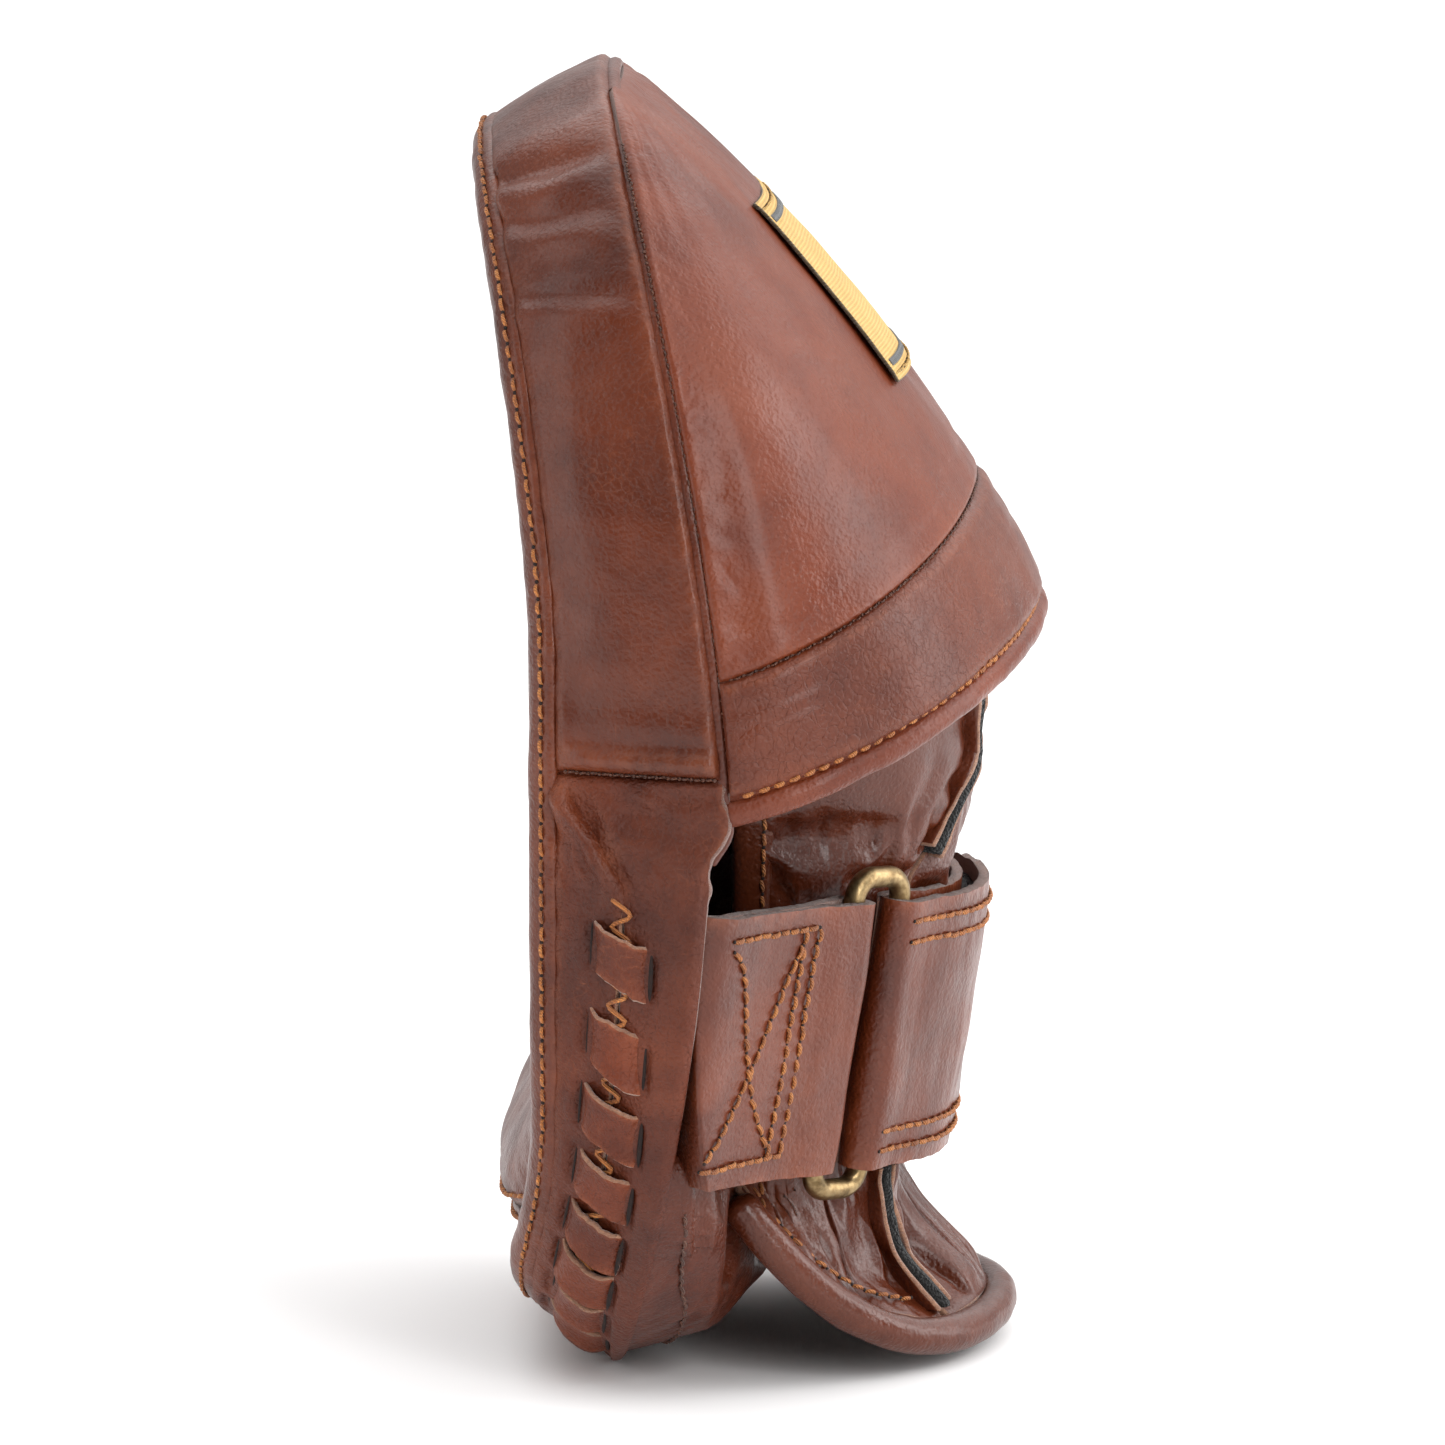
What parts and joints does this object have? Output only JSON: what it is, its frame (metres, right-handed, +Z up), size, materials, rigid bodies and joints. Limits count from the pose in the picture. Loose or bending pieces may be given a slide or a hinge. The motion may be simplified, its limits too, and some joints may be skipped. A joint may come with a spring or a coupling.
{
  "type": "boxing focus mitt",
  "caption": "Padded leather strike pad with a finger hood, a hand cover with a bound cuff, and a hook-and-loop wrist strap that folds back round a brass ring.",
  "frame": {"origin": "on the ground under the middle of the mitt's bounding box, as it stands on its heel and cuff", "axes": "+Z up along the pad from heel to fingertips, -X out of the striking face, +X out of the back of the hand, Y across the pad's width with the ring side at -Y"},
  "size_m": [0.1138, 0.2, 0.2575],
  "materials": {
    "leather_face": "waxed reddish-brown pull-up leather",
    "leather_gusset": "waxed dark brown pull-up leather",
    "leather_hood": "waxed reddish-brown pull-up leather with a soft sheen",
    "leather_hand": "soft padded glove leather",
    "leather_strap": "smooth strap leather with raw edges",
    "leather_lace": "cut lace leather with frayed tan edges",
    "black_fabric": "matte woven lining",
    "foam": "closed-cell foam",
    "stuffing": "packed fibre",
    "label_weave": "woven yellow label, blank",
    "hook_and_loop": "hook-and-loop tape",
    "antique_brass": "antique brass, lightly tarnished",
    "thread": "twisted orange-gold sewing thread"
  },
  "bodies": {
    "root": {"face_panel": "leather_face", "face_heel_panel": "leather_face", "edge_binding": "leather_gusset", "upper_gusset": "leather_gusset", "lower_gusset_front": "leather_gusset", "lower_gusset_rear": "leather_gusset", "lacing": "leather_lace", "back_panel": "black_fabric", "heel_back_panel": "leather_gusset", "foam_core_front": "foam", "foam_core_middle": "foam", "foam_core_rear": "foam", "heel_stuffing": "stuffing", "hood_panel": "leather_hood", "hood_band": "leather_hood", "hood_piping": "leather_hood", "hood_foam": "foam", "hood_lining": "black_fabric", "label": "label_weave", "hand_near_panel": "leather_hand", "hand_back_panel": "leather_hand", "hand_far_panel": "leather_hand", "hand_seam_near": "black_fabric", "hand_seam_far": "black_fabric", "hand_padding": "foam", "hand_lining": "black_fabric", "cuff_binding": "leather_hand", "palm_ball": "black_fabric", "strap_tab": "leather_strap", "strap_main": "leather_strap", "loop_patch": "hook_and_loop"},
    "ring": {"ring": "antique_brass", "strap_fold": "leather_strap"},
    "strap_flap": {"strap_flap": "leather_strap", "hook_patch": "hook_and_loop"}
  },
  "joints": [
    {"name": "ring_swing", "type": "hinge", "parent": "root", "child": "ring", "pos_m": [0.01385, -0.0524, 0.06973], "axis": [-0.1478, 0, -0.989], "range_deg": [0, 30]},
    {"name": "flap_peel", "type": "hinge", "parent": "ring", "child": "strap_flap", "pos_m": [0.03065, -0.03392, 0.06722], "axis": [-0.1478, 0, -0.989], "range_deg": [0, 95]}
  ]
}
